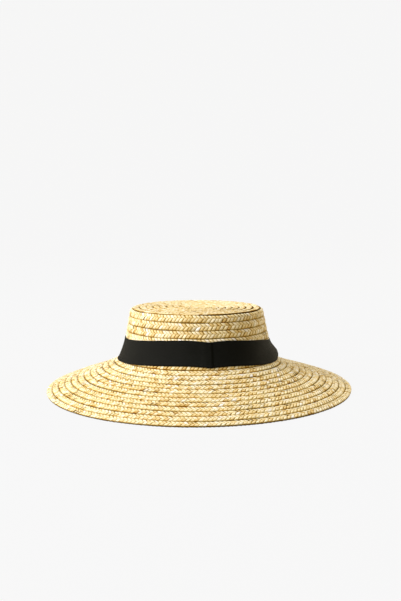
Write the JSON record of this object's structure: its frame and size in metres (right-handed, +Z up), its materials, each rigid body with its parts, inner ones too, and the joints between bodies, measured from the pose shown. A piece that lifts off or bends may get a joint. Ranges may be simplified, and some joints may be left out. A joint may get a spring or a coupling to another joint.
{
  "type": "straw boater hat",
  "caption": "Oval straw hat of sewn braid with a flat top, a wide drooping brim and a black ribbon band.",
  "frame": {"origin": "on the surface the hat rests on, under the middle of the brim", "axes": "+Z up, +X along the hat's longer axis, and -Y towards its front, with the picture's camera 30 degrees round from -Y towards +X"},
  "size_m": [0.3966, 0.3686, 0.1057],
  "materials": {
    "straw": "glossy plaited straw",
    "ribbon": "matte ribbed ribbon"
  },
  "bodies": {
    "root": {"crown_top": "straw", "crown_side": "straw", "brim": "straw", "ribbon_band": "ribbon"}
  },
  "joints": []
}
